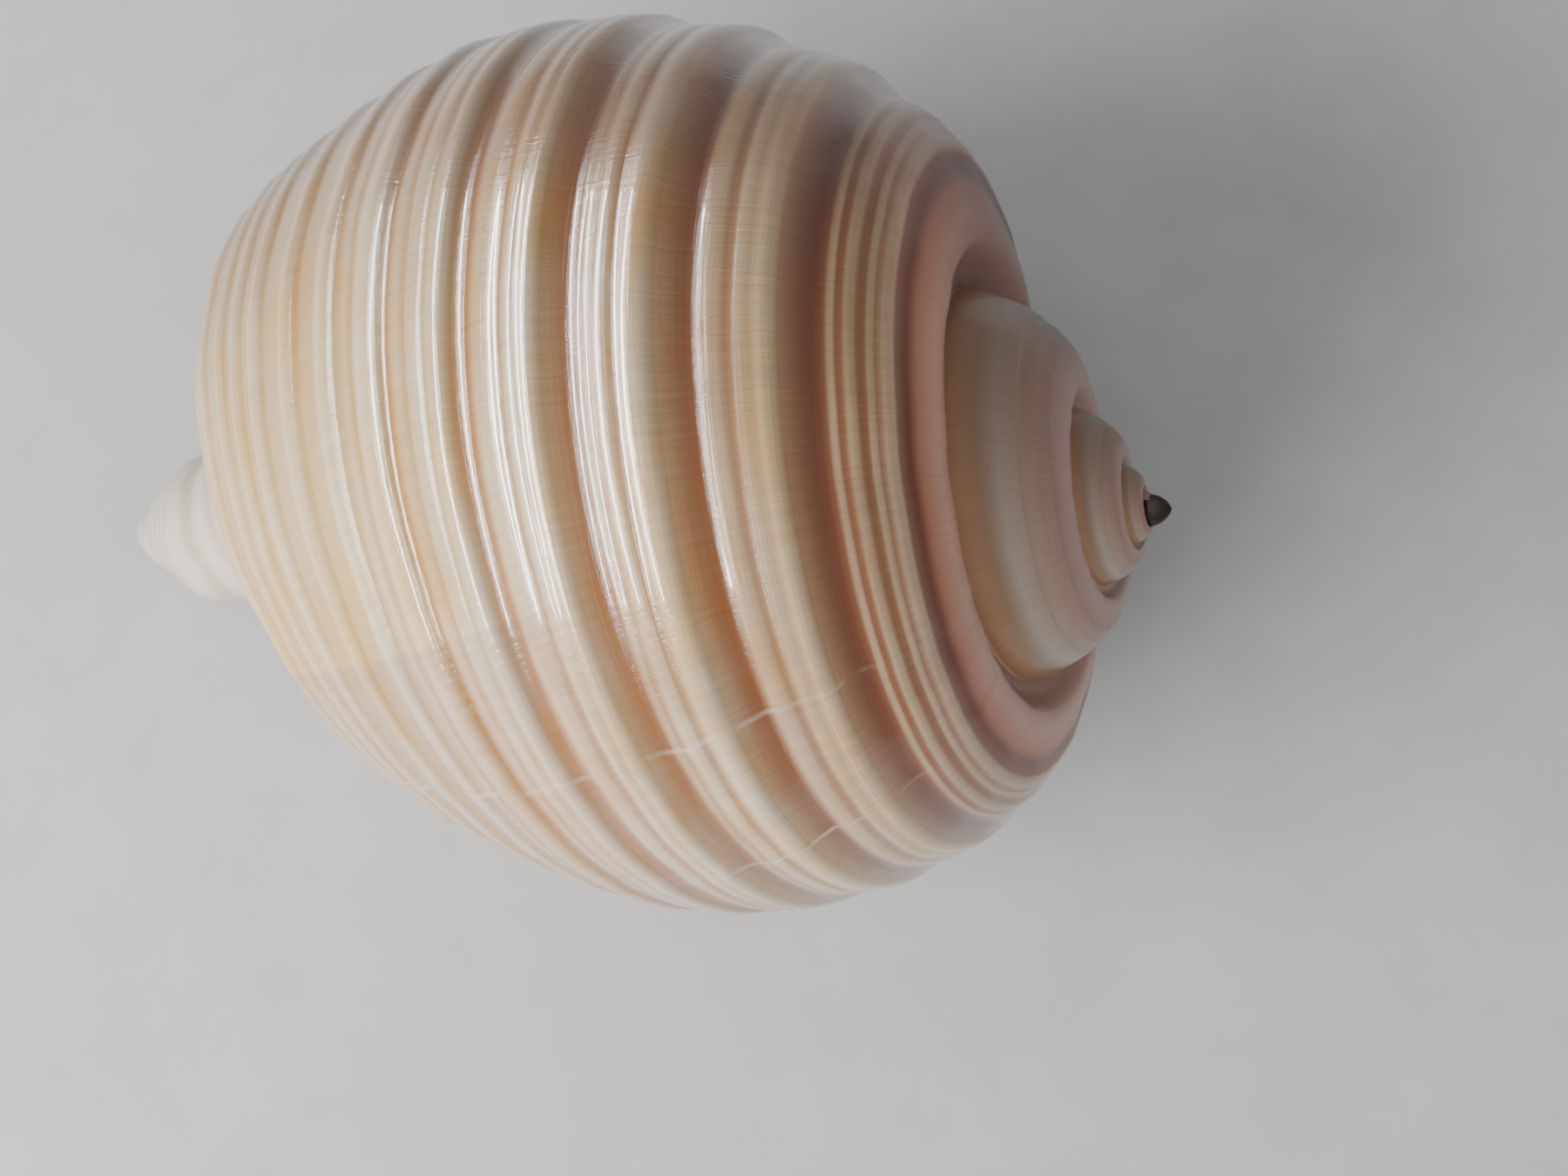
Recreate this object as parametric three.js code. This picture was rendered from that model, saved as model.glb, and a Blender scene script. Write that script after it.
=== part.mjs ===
// Tun shell, a large sea snail's shell lying on its opening with the apex toward +X.
// Millimetres, +Z up. The last whorl's outline is swept along a spiral that grows evenly from the apex.
import * as THREE from 'three';

// Growth of the spiral, angles in degrees
const whorlRatio = 2.25; // size of each whorl over the one before it
const whorlCount = 4.25; // whorls from the apex to the lip
const bulbRadius = 2.35; // of the round first whorl at its foot, millimetres
const bulbTop = 1.4; // its rise over the point that the spiral starts from, millimetres
const bulbFoot = 1.4; // and the depth of its foot below that point
const bulbAngles = [90, 45]; // rings of the bulb, from its top
const axisTilt = 17; // the apex end is raised by this much
const lipTurn = 115; // turn from the top of the shell to the middle of the lip
const lipLead = 15; // the lip's end at the suture runs on this much further
const lipRound = 5; // how softly the lip bends from that end to the plane it rests on
const lipBlend = 144; // the lip's slant fades out over this much of the last whorl

// Outline of the last whorl at the lip: distance from the axis, distance below the apex
const outlinePoints = [
  [33.2, 25.2], // suture
  [35.4, 25.0], // floor of the channel beside the suture
  [39.6, 21.5], // crest beside the channel
  [48.0, 23.2],
  [55.5, 27.6], // shoulder
  [63.7, 35.6],
  [69.9, 45.6],
  [74.7, 56.7], // where the next whorl is attached
  [78.8, 71.8],
  [79.9, 90.4], // widest
  [75.2, 112.5],
  [62.8, 140.2], // base
  [46.0, 150.0],
];
const attachPoint = 7;

// Broad spiral ribs along the outline from the suture: foot, crest from, crest to, far foot, height
const ribs = [
  [18.4, 21.6, 29.4, 33.2, 0.9],
  [33.2, 39.8, 42.0, 50.2, 1.2],
  [50.2, 56.2, 58.2, 66.2, 1.3],
  [66.2, 71.4, 73.6, 81.6, 1.3],
  [81.6, 84.8, 87.4, 94.4, 1.0],
  [93.4, 96.0, 98.0, 104.0, 0.8],
  [102.6, 105.4, 107.4, 113.6, 0.7],
  [112.6, 115.8, 117.4, 122.8, 0.6],
  [122.4, 125.0, 126.6, 129.4, 0.5],
  [128.6, 130.6, 132.0, 134.8, 0.5],
  [134.0, 135.8, 137.4, 141.4, 0.5],
  [141.2, 143.6, 145.0, 148.0, 0.5],
  [147.6, 149.6, 151.2, 154.2, 0.4],
  [154.6, 156.8, 158.4, 161.0, 0.4],
];
const ribFoot = 0.8; // the outline runs this far above the foot of the ribs
const ribGrooves = [26.7, 45.0, 60.1, 75.9, 90.8]; // each parts a broad rib in two
const grooveWidth = 2.6;
const grooveDepth = 0.4;
const narrowestGap = 1.8; // lines of the mesh closer than this are one
const shoulderPlace = 34.5; // the spire has no ribs beyond this place along the outline
const spireShare = 0.5; // height of the spire's ribs before it, over those of the last whorl
const ribsGrow = [-300, -180]; // turns between which the ribs reach their height

// Pillar along the axis and the spout at its foot
const pillarTop = [60, 6]; // distance below the apex, radius
const pillarFoot = [153, 12.5]; // below this the pillar narrows to the blunt tip of the spout
const spoutTip = 172;
const spoutTaper = 0.72; // power of the taper toward the tip
const spoutLean = 7.5; // the foot lies this far toward +Y from the axis
const leanStart = 80; // distance below the apex where the pillar begins to lean
const leanReach = [15, 50]; // distances from the axis between which the lean fades out
const neckPower = 2; // how hollow the neck is
const notchStart = 150; // place along the outline where the lip begins to curve back into the notch
const notchPlace = 0.35; // part of the way along the neck where the notch is deepest
const notchTurn = 55; // how far back the notch is cut, degrees
const neckLength = 12; // the neck counts as this much of the way along the lip

// Wall
const wallThickness = 2.2; // from the outline inward
const lipThickness = 1.1;
const thicknessBlend = 30; // degrees behind the lip over which the wall reaches its thickness
const hollowTurns = 1.25;
const sutureGap = 4; // the hollow's corner lies this far past the line where the whorl is attached
const cornerRise = 3; // and this far short of the outline's end at the pillar
const cornerBlend = 24; // degrees behind the lip over which that corner leaves the pillar's foot

// Mesh
const outlineSteps = 60; // between two points of the outline
const columnsPerTurn = 30;
const rampArcs = [0, 3.2, 6.5, 9.6, 13.5, 17.5];
const edgeRows = 4; // the lip's edge reaches its thickness over this many lines
const restTurns = [-225, -110]; // the shell rests on this stretch of the last whorl
const lipTurns = [60, 180]; // the lip's edge reaches the plane it rests on within these turns
const turnStep = 0.001; // how closely that turn is found
const neckRows = 4;
const tipRows = 4;
const hollowOuterArcs = [5, 12, 20, 30, 41, 53, 66, 80, 95, 110, 125, 140, 154];
const hollowInnerArcs = [78, 94, 110, 126, 142, 158];
const hollowNeckRows = 4;

const clamp = THREE.MathUtils.clamp;
const lerp = THREE.MathUtils.lerp;
const ease = (x) => THREE.MathUtils.smoothstep(x, 0, 1);

const outline = new THREE.CatmullRomCurve3(
  outlinePoints.map(([out, down]) => new THREE.Vector3(out, down, 0)),
);
outline.arcLengthDivisions = outlineSteps * (outlinePoints.length - 1);
const outlineLength = outline.getLength();
const attachArc = outline.getLengths()[outlineSteps * attachPoint];

function growth(turn) {
  return whorlRatio ** ((turn - lipTurn) / 360);
}

function ribHeight(arc) {
  let height = 0;
  for (const [foot, crestFrom, crestTo, farFoot, top] of ribs) {
    const rise = ease((arc - foot) / (crestFrom - foot));
    const back = clamp((arc - crestTo) / (farFoot - crestTo), 0, 1);
    height = Math.max(height, top * rise * (1 - back ** 2));
  }
  for (const groove of ribGrooves) {
    height -= grooveDepth * (1 - ease(Math.abs(arc - groove) / (grooveWidth / 2)));
  }
  return height;
}

// Height of the surface over the outline, which the ribs reach only on the last whorl
function relief(arc, turn) {
  const grown = ease((turn - ribsGrow[0]) / (ribsGrow[1] - ribsGrow[0]));
  const share = arc < shoulderPlace ? lerp(spireShare, 1, grown) : grown;
  return (ribHeight(arc) - ribFoot) * share;
}

// A point of the last whorl's outline at full size, moved outward by the given amount
function outlinePoint(arc, outward) {
  const part = clamp(arc / outlineLength, 0, 1);
  const point = outline.getPointAt(part);
  const along = outline.getTangentAt(part);
  return [point.x + outward * along.y, point.y - outward * along.x];
}

function pillarRadius(down) {
  const part = (down - pillarTop[0]) / (pillarFoot[0] - pillarTop[0]);
  return lerp(pillarTop[1], pillarFoot[1], clamp(part, 0, 1));
}

// The neck runs from the end of the outline to the pillar at a given distance below the apex
function neckPoint(part, turn, end) {
  const size = growth(turn);
  const [out, down] = outlinePoint(outlineLength, 0);
  const start = down * size;
  const below = lerp(start, end, part);
  const flare = (out * size - pillarRadius(start)) * (1 - part) ** neckPower;
  return [pillarRadius(below) + flare, below];
}

// From distance off the axis, distance below the apex and turn to a point in space
function place([out, down], turn) {
  const angle = THREE.MathUtils.degToRad(turn);
  const tilt = THREE.MathUtils.degToRad(axisTilt);
  const up = out * Math.cos(angle);
  const nearAxis = ease((leanReach[1] - out) / (leanReach[1] - leanReach[0]));
  const lean = spoutLean * nearAxis * ease((down - leanStart) / (pillarFoot[0] - leanStart));
  return new THREE.Vector3(
    -Math.sin(tilt) * up - Math.cos(tilt) * down,
    out * Math.sin(angle) + lean,
    Math.cos(tilt) * up - Math.sin(tilt) * down,
  );
}

function surfacePoint(arc, turn) {
  const size = growth(turn);
  const [out, down] = outlinePoint(arc, relief(arc, turn));
  return place([out * size, down * size], turn);
}

// Lines of the mesh along the outline: the ramp, then the feet and the crest of every rib and its groove
const ribArcs = ribs.flatMap(([foot, crestFrom, crestTo, farFoot]) => [foot, crestFrom, crestTo, farFoot]);
const rowArcs = [...rampArcs];
for (const arc of [...ribArcs, ...ribGrooves].sort((a, b) => a - b)) {
  if (arc - rowArcs.at(-1) >= narrowestGap) {
    rowArcs.push(arc);
  }
}
rowArcs.push(outlineLength);
const nearestToAttach = rowArcs.reduce(
  (best, arc, k) => (Math.abs(arc - attachArc) < Math.abs(rowArcs[best] - attachArc) ? k : best),
  0,
);
rowArcs[nearestToAttach] = attachArc;
const attachRow = nearestToAttach;
const neckStart = rowArcs.length - 1;
const rowCount = rowArcs.length + neckRows;
const lastRow = rowCount - 1;
const neckPart = (row) => (row - neckStart) / neckRows;

// The lip lies in the plane that the underside of the last whorl rests on
const lipEnd = lipTurn + lipLead;
let restHeight = Infinity;
for (const arc of rowArcs) {
  for (let turn = restTurns[0]; turn <= restTurns[1]; turn += 1) {
    restHeight = Math.min(restHeight, surfacePoint(arc, turn).z);
  }
}

function turnAtRest(arc) {
  let [low, high] = lipTurns;
  if (surfacePoint(arc, high).z > restHeight) {
    return high;
  }
  while (high - low > turnStep) {
    const middle = (low + high) / 2;
    if (surfacePoint(arc, middle).z > restHeight) {
      low = middle;
    } else {
      high = middle;
    }
  }
  return low;
}

const rowPlace = (row) => (row <= neckStart ? rowArcs[row] : outlineLength + neckLength * neckPart(row));
const notchDeepest = outlineLength + neckLength * notchPlace;
const lipShift = [];
for (let row = 0; row < rowCount; row += 1) {
  const pastEnd = turnAtRest(Math.min(rowPlace(row), outlineLength)) - lipEnd;
  const atRest = -lipRound * Math.log1p(Math.exp(-pastEnd / lipRound));
  const intoNotch = ease((rowPlace(row) - notchStart) / (notchDeepest - notchStart));
  const outOfNotch = ease((rowPlace(row) - notchDeepest) / (outlineLength + neckLength - notchDeepest));
  lipShift.push(lerp(lerp(atRest, -notchTurn, intoNotch), 0, outOfNotch));
}
const lipSlant = (behind) => 1 - ease(behind / lipBlend);

const vertices = [];
const faces = [];

function addVertex(point) {
  vertices.push(point);
  return vertices.length - 1;
}

function addFace(a, b, c) {
  if (a !== b && b !== c && c !== a) {
    faces.push([a, b, c]);
  }
}

// Joins two lines of vertices that run side by side; where their counts differ, by their places along the way
function joinLines(first, second, firstPlaces, secondPlaces) {
  let i = 0;
  let j = 0;
  while (i < first.length - 1 || j < second.length - 1) {
    const nextFirst = i < first.length - 1 ? firstPlaces[i + 1] + firstPlaces[i] : Infinity;
    const nextSecond = j < second.length - 1 ? secondPlaces[j + 1] + secondPlaces[j] : Infinity;
    if (nextSecond <= nextFirst) {
      addFace(first[i], second[j], second[j + 1]);
      j += 1;
    } else {
      addFace(first[i], second[j], first[i + 1]);
      i += 1;
    }
  }
}

function joinColumns(first, second) {
  const places = first.map((_, k) => k);
  joinLines(first, second, places, places);
}

// Outside: columns of vertices from the apex to the lip
const columnCount = Math.round(whorlCount * columnsPerTurn);
const lastWhorl = columnCount - columnsPerTurn;
const columnTurn = (column) => lipEnd - (360 * (columnCount - column)) / columnsPerTurn;
const grid = [];
for (let column = 0; column <= columnCount; column += 1) {
  const behind = lipEnd - columnTurn(column);
  const lines = [];
  const count = column < lastWhorl ? attachRow : rowCount;
  for (let row = 0; row < count; row += 1) {
    const slant = column > lastWhorl ? lipShift[row] * lipSlant(behind) : 0;
    const turn = columnTurn(column) + slant;
    if (column === columnCount && row === lastRow) {
      lines.push(grid[lastWhorl][lastRow]);
    } else if (row <= neckStart) {
      lines.push(addVertex(surfacePoint(rowArcs[row], turn)));
    } else {
      lines.push(addVertex(place(neckPoint(neckPart(row), turn, pillarFoot[0]), turn)));
    }
  }
  grid.push(lines);
}
for (let column = 0; column <= lastWhorl; column += 1) {
  grid[column][attachRow] = grid[column + columnsPerTurn][0];
}
for (let column = 0; column < columnCount; column += 1) {
  const rows = column < lastWhorl ? attachRow + 1 : rowCount;
  joinColumns(grid[column].slice(0, rows), grid[column + 1].slice(0, rows));
}

// The apex is closed by a round bulb over the first whorl
const bulbEdge = [];
for (let column = columnsPerTurn; column >= 0; column -= 1) {
  bulbEdge.push({ vertex: grid[column][0], turn: columnTurn(column) });
}
for (let row = 1; row < attachRow; row += 1) {
  bulbEdge.push({ vertex: grid[0][row], turn: columnTurn(0) });
}
let bulbLine = bulbEdge.map(({ vertex }) => vertex);
for (const angle of bulbAngles) {
  const fromTop = THREE.MathUtils.degToRad(angle);
  const out = bulbRadius * Math.sin(fromTop);
  const down = bulbFoot - (bulbFoot + bulbTop) * Math.cos(fromTop);
  const next = bulbEdge.map(({ turn }) => addVertex(place([out, down], turn)));
  joinColumns([...next, next[0]], [...bulbLine, bulbLine[0]]);
  bulbLine = next;
}
const apex = addVertex(place([0, -bulbTop], 0));
bulbLine.forEach((vertex, k) => {
  addFace(apex, vertex, bulbLine[(k + 1) % bulbLine.length]);
});

// The spout's blunt tip
let ring = [];
for (let column = lastWhorl; column <= columnCount; column += 1) {
  ring.push(grid[column][lastRow]);
}
for (let step = 1; step < tipRows; step += 1) {
  const part = step / tipRows;
  const next = [];
  for (let column = 0; column < columnsPerTurn; column += 1) {
    const radius = pillarFoot[1] * (1 - part) ** spoutTaper;
    const down = lerp(pillarFoot[0], spoutTip, part);
    next.push(addVertex(place([radius, down], columnTurn(lastWhorl + column))));
  }
  next.push(next[0]);
  joinColumns(next, ring);
  ring = next;
}
const tip = addVertex(place([0, spoutTip], 0));
for (let column = 0; column < columnsPerTurn; column += 1) {
  addFace(ring[column], ring[column + 1], tip);
}

// Hollow: lines of vertices from the lip inward, along the outer wall and along the earlier whorl
const lipLine = grid[columnCount];
const parietalLine = grid[lastWhorl].slice(attachRow);
const lipPlaces = lipLine.map((_, row) => rowPlace(row));
const parietalPlaces = parietalLine.map((_, k) => rowPlace(attachRow + k));

let outer = lipLine.map((vertex, row) => {
  if (row === 0 || row === lastRow) {
    return vertex;
  }
  const turn = lipEnd + lipShift[row];
  const size = growth(turn);
  const rise = Math.min(1, row / edgeRows) * lipThickness;
  if (row <= neckStart) {
    const [out, down] = outlinePoint(rowArcs[row], relief(rowArcs[row], turn) - rise);
    return addVertex(place([out * size, down * size], turn));
  }
  const [out, down] = neckPoint(neckPart(row), turn, pillarFoot[0]);
  return addVertex(place([out, down - rise * (1 - neckPart(row))], turn));
});
let outerPlaces = lipPlaces;
joinColumns(lipLine, outer);
let inner = parietalLine;
let innerPlaces = parietalPlaces;

const hollowColumns = Math.round(hollowTurns * columnsPerTurn);
for (let step = 1; step <= hollowColumns; step += 1) {
  const behind = (360 * step) / columnsPerTurn;
  const turn = lipEnd - behind;
  const size = growth(turn);
  const cornerInside = (outlinePoints.at(-1)[1] - cornerRise) * size;
  const cornerDown = lerp(pillarFoot[0], cornerInside, ease(behind / cornerBlend));
  const corner = addVertex(place([pillarRadius(cornerDown), cornerDown], turn));
  const sutureCorner = addVertex(place(
    outlinePoint(attachArc + sutureGap, 0).map((x) => x * growth(turn - 360)),
    turn,
  ));
  const thickness = lerp(lipThickness, wallThickness, ease(behind / thicknessBlend));

  const nextOuter = [sutureCorner];
  const nextOuterPlaces = [0];
  for (const arc of [...hollowOuterArcs, outlineLength]) {
    const row = rowArcs.findIndex((value) => value >= arc);
    const wallTurn = turn + lipShift[row] * lipSlant(behind);
    const wallSize = growth(wallTurn);
    const [out, down] = outlinePoint(arc, -thickness);
    nextOuter.push(addVertex(place([out * wallSize, down * wallSize], wallTurn)));
    nextOuterPlaces.push(arc);
  }
  nextOuter.push(corner);
  nextOuterPlaces.push(outlineLength + neckLength);

  const nextInner = [sutureCorner];
  const nextInnerPlaces = [attachArc];
  for (const arc of hollowInnerArcs) {
    const [out, down] = outlinePoint(arc, 0);
    const innerSize = growth(turn - 360);
    nextInner.push(addVertex(place([out * innerSize, down * innerSize], turn)));
    nextInnerPlaces.push(arc);
  }
  for (let row = 0; row < hollowNeckRows; row += 1) {
    const part = row / hollowNeckRows;
    nextInner.push(addVertex(place(neckPoint(part, turn - 360, cornerDown), turn)));
    nextInnerPlaces.push(outlineLength + neckLength * part);
  }
  nextInner.push(corner);
  nextInnerPlaces.push(outlineLength + neckLength);

  joinLines(outer, nextOuter, outerPlaces, nextOuterPlaces);
  joinLines(nextInner, inner, nextInnerPlaces, innerPlaces);
  outer = nextOuter;
  outerPlaces = nextOuterPlaces;
  inner = nextInner;
  innerPlaces = nextInnerPlaces;
}

// The inner end of the hollow
const endCentre = new THREE.Vector3();
outer.forEach((vertex) => endCentre.addScaledVector(vertices[vertex], 1 / outer.length));
const endVertex = addVertex(endCentre);
for (let k = 0; k < outer.length - 1; k += 1) {
  addFace(endVertex, outer[k + 1], outer[k]);
}
for (let k = 0; k < inner.length - 1; k += 1) {
  addFace(endVertex, inner[k], inner[k + 1]);
}

// The shell stands on z = 0 with the middle of its box over the origin
const box = new THREE.Box3().setFromPoints(vertices);
const middle = box.getCenter(new THREE.Vector3());
const shift = new THREE.Vector3(-middle.x, -middle.y, -box.min.z);
const geometry = new THREE.BufferGeometry();
geometry.setAttribute(
  'position',
  new THREE.Float32BufferAttribute(vertices.flatMap((v) => v.clone().add(shift).toArray()), 3),
);
geometry.setIndex(faces.flat());
geometry.computeVertexNormals();

const surface = new THREE.MeshStandardMaterial({ color: 0xd8c2a0, roughness: 0.25, metalness: 0 });
const shell = new THREE.Mesh(geometry, surface);
shell.name = 'shell';
const part = new THREE.Group();
part.add(shell);
export default part;
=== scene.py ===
"""A tun shell, a large sea snail's glossy ribbed shell, lying on its opening on a pale floor. Metres."""

import math
from types import SimpleNamespace

import bpy
import numpy as np
from mathutils import Matrix, Vector


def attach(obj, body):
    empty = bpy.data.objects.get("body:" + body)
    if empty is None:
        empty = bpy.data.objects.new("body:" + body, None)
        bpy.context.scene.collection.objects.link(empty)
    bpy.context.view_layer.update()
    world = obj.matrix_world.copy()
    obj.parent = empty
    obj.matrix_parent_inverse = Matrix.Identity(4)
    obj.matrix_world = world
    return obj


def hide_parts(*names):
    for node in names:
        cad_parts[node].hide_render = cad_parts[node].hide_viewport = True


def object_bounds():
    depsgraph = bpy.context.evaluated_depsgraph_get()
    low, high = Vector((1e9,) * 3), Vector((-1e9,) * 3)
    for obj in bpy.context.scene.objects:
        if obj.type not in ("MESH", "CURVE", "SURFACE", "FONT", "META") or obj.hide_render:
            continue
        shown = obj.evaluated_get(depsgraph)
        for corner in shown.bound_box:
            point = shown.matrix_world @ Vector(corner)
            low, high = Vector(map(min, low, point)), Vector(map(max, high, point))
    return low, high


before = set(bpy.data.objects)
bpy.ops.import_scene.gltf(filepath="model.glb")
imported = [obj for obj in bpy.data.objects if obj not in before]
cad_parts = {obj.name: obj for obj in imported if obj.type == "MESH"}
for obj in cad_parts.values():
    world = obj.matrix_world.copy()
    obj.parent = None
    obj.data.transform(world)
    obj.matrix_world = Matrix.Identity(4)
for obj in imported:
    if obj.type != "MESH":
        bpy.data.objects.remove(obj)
cad_low, cad_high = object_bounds()

# Growth of the spiral, angles in degrees
WHORL_RATIO = 2.25
WHORL_COUNT = 4.25
AXIS_TILT = 17

# The lip's turn, how far it leads, and how its slant rounds off and fades behind it, in degrees
LIP_TURN = 115
LIP_LEAD = 15
LIP_ROUND = 5
LIP_BLEND = 144
LIP_END = LIP_TURN + LIP_LEAD

# Pointed bulb at the apex
BULB_RADIUS = 0.0020
BULB_TOP = 0.0014
BULB_FOOT = 0.0014
BULB_RINGS = 9
BULB_JOIN_RINGS = 2
BULB_ANGLES = (90, 8)
BULB_POINT = 1.4

# Outline of the last whorl at the lip: distance from the axis, distance below the apex
OUTLINE_POINTS = [
    (0.0332, 0.0252),
    (0.0354, 0.0250),
    (0.0396, 0.0215),
    (0.0480, 0.0232),
    (0.0555, 0.0276),
    (0.0637, 0.0356),
    (0.0699, 0.0456),
    (0.0747, 0.0567),
    (0.0788, 0.0718),
    (0.0799, 0.0904),
    (0.0752, 0.1125),
    (0.0628, 0.1402),
    (0.0460, 0.1500),
]
ATTACH_POINT = 7
OUTLINE_STEPS = 200

# Broad ribs along the outline from the suture: foot, crest from, crest to, far foot, height
RIBS = [
    (0.0184, 0.0216, 0.0294, 0.0332, 0.0009),
    (0.0332, 0.0398, 0.0420, 0.0502, 0.0012),
    (0.0502, 0.0562, 0.0582, 0.0662, 0.0013),
    (0.0662, 0.0714, 0.0736, 0.0816, 0.0013),
    (0.0816, 0.0848, 0.0874, 0.0944, 0.0010),
    (0.0934, 0.0960, 0.0980, 0.1040, 0.0008),
    (0.1026, 0.1054, 0.1074, 0.1136, 0.0007),
    (0.1126, 0.1158, 0.1174, 0.1228, 0.0006),
    (0.1224, 0.1250, 0.1266, 0.1294, 0.0005),
    (0.1286, 0.1306, 0.1320, 0.1348, 0.0005),
    (0.1340, 0.1358, 0.1374, 0.1414, 0.0005),
    (0.1412, 0.1436, 0.1450, 0.1480, 0.0005),
    (0.1476, 0.1496, 0.1512, 0.1542, 0.0004),
    (0.1546, 0.1568, 0.1584, 0.1610, 0.0004),
]
RIB_FOOT = 0.0008
RISE_BEND = 1.7
BACK_BEND = 1.2
EDGE_ROUNDING = 0.0009
EDGE_SAMPLES = 7
BACK_TONE = 0.45
BACK_FADE = 0.0024
GROOVE_WIDTH = 0.0024
SLOPE_FADE = 1.6
SMOOTH_SPIRE = (-300, -180)
SHOULDER_ARC = 0.0345
SPIRE_SHARE = 0.5

# Pale rounded strands on the ribs, from and to along the outline
STRANDS = [
    (0.0208, 0.0243),
    (0.0243, 0.0262),
    (0.0272, 0.0297),
    (0.0303, 0.0319),
    (0.0384, 0.0422),
    (0.0422, 0.0448),
    (0.0453, 0.0496),
    (0.0550, 0.0598),
    (0.0604, 0.0637),
    (0.0639, 0.0658),
    (0.0702, 0.0732),
    (0.0732, 0.0757),
    (0.0761, 0.0808),
    (0.0834, 0.0872),
    (0.0872, 0.0908),
    (0.0908, 0.0940),
    (0.0944, 0.1004),
    (0.1006, 0.1042),
    (0.1044, 0.1088),
    (0.1138, 0.1182),
    (0.1230, 0.1272),
    (0.1288, 0.1328),
    (0.1340, 0.1382),
    (0.1416, 0.1462),
    (0.1478, 0.1522),
    (0.1550, 0.1592),
]
STRAND_CROWN = 0.075

# Pillar along the axis and the spout at its foot
PILLAR_TOP = (0.060, 0.006)
PILLAR_FOOT = (0.153, 0.0125)
SPOUT_TIP = 0.172
SPOUT_TAPER = 0.72
SPOUT_LEAN = 0.0075
LEAN_START = 0.080
LEAN_REACH = (0.015, 0.050)
LOBE_PLACE = 0.42
LOBE_SWAY = 0.20
LOBE_TURN = 60
LOBE_WIDTH = 0.09
LOBE_GROOVE = 0.0007
NECK_POWER = 2
NECK_LENGTH = 0.012
NECK_WHITENING = 1.4
NOTCH_START = 0.150
NOTCH_PLACE = 0.35
NOTCH_TURN = 55

# Wall
WALL_THICKNESS = 0.0022
LIP_THICKNESS = 0.0011
LIP_RADIUS = 0.06
LIP_PALENESS = 0.5
THICKNESS_BLEND = 30
HOLLOW_TURNS = 1.25
SUTURE_GAP = 0.004
NECK_GAP = 0.002
CORNER_RISE = 0.003
CORNER_BLEND = 24
INNER_START = 0.070
FLUTING = 0.7

# Growth marks by age, which is the turn in degrees plus the growth lag for each metre of outline
GROWTH_LAG = 150
COLOUR_STEP_AGE = -13
SCAR_AGES = (-33, -56)
SCAR_HEIGHT = 0.00022
SCAR_WIDTH = 1.6

# Low swellings of growth: height, number in a whole turn, start in degrees
GROWTH_WAVES = [
    (0.00008, 14, 0),
    (0.00006, 23, 40),
]

# Bends of the scars: degrees aside, radians per metre of outline, start in radians
SCAR_BENDS = [
    (0.7, 520, 0),
    (0.5, 1130, 1),
]

# Mesh
ROW_STEP = 0.00058
NECK_ROWS = 14
TIP_ROWS = 14
WIDE_COLUMN = 3.75
NARROW_COLUMN = 1.5
NARROW_TURNS = (-82.5, -22.5)
EARLIER_TURNS = 5
HOLLOW_ROW_STEP = 0.0030
HOLLOW_NECK_ROWS = 6
LIP_STEPS = 4
LIP_EDGE_ROWS = 12
LIP_SMOOTHING = 6
REST_TURNS = (-225, -109)
REST_TURN_STEP = 1.0
LIP_TURNS = (60, 180)
LIP_TURN_STEP = 0.25


def ease(value):
    """Smooth step from 0 to 1."""
    held = np.clip(value, 0.0, 1.0)
    return held * held * (3.0 - 2.0 * held)


def lerp(start, end, part):
    return start + (end - start) * part


def sample_outline(steps):
    """Points of a smooth curve through the outline, their distances along it, and the attachment's."""
    points = np.array(OUTLINE_POINTS)
    ends = np.vstack([2 * points[0] - points[1], points, 2 * points[-1] - points[-2]])
    gaps = np.sqrt(np.linalg.norm(np.diff(ends, axis=0), axis=1))
    part = np.linspace(0.0, 1.0, steps, endpoint=False)[:, None]
    pieces = []
    for k in range(len(points) - 1):
        before, start, end, after = ends[k:k + 4]
        gap_before, gap, gap_after = gaps[k:k + 3]
        slope_in = (start - before) / gap_before - (end - before) / (gap_before + gap) + (end - start) / gap
        slope_out = (end - start) / gap - (after - start) / (gap + gap_after) + (after - end) / gap_after
        first = slope_in * gap
        last = slope_out * gap
        square = -3 * start + 3 * end - 2 * first - last
        cube = 2 * start - 2 * end + first + last
        pieces.append(start + first * part + square * part ** 2 + cube * part ** 3)
    curve = np.vstack([*pieces, points[-1:]])
    along = np.concatenate([[0.0], np.cumsum(np.linalg.norm(np.diff(curve, axis=0), axis=1))])
    return curve, along, along[steps * ATTACH_POINT]


CURVE, CURVE_ARC, ATTACH_ARC = sample_outline(OUTLINE_STEPS)
OUTLINE_LENGTH = CURVE_ARC[-1]
CURVE_TANGENT = np.gradient(CURVE, CURVE_ARC, axis=0)
CURVE_TANGENT /= np.linalg.norm(CURVE_TANGENT, axis=1)[:, None]


def growth(turn):
    return WHORL_RATIO ** ((turn - LIP_TURN) / 360.0)


def full_ribs(arc, turn):
    """How far the ribs beyond the shoulder have grown: the spire is smooth there."""
    start, end = SMOOTH_SPIRE
    grown = ease((turn - start) / (end - start))
    return np.where(arc < SHOULDER_ARC, lerp(SPIRE_SHARE, 1.0, grown), grown)


def sharp_rib_height(arc):
    """A slope that steepens up to each rib's crest, and a back that falls away from it."""
    height = np.zeros_like(arc)
    for foot, crest_from, crest_to, far_foot, top in RIBS:
        rise = np.clip((arc - foot) / (crest_from - foot), 0.0, 1.0) ** RISE_BEND
        past = np.clip((arc - crest_to) / (far_foot - crest_to), 0.0, 1.0) ** BACK_BEND
        height = np.maximum(height, top * rise * (1.0 - past))
    return height


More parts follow.
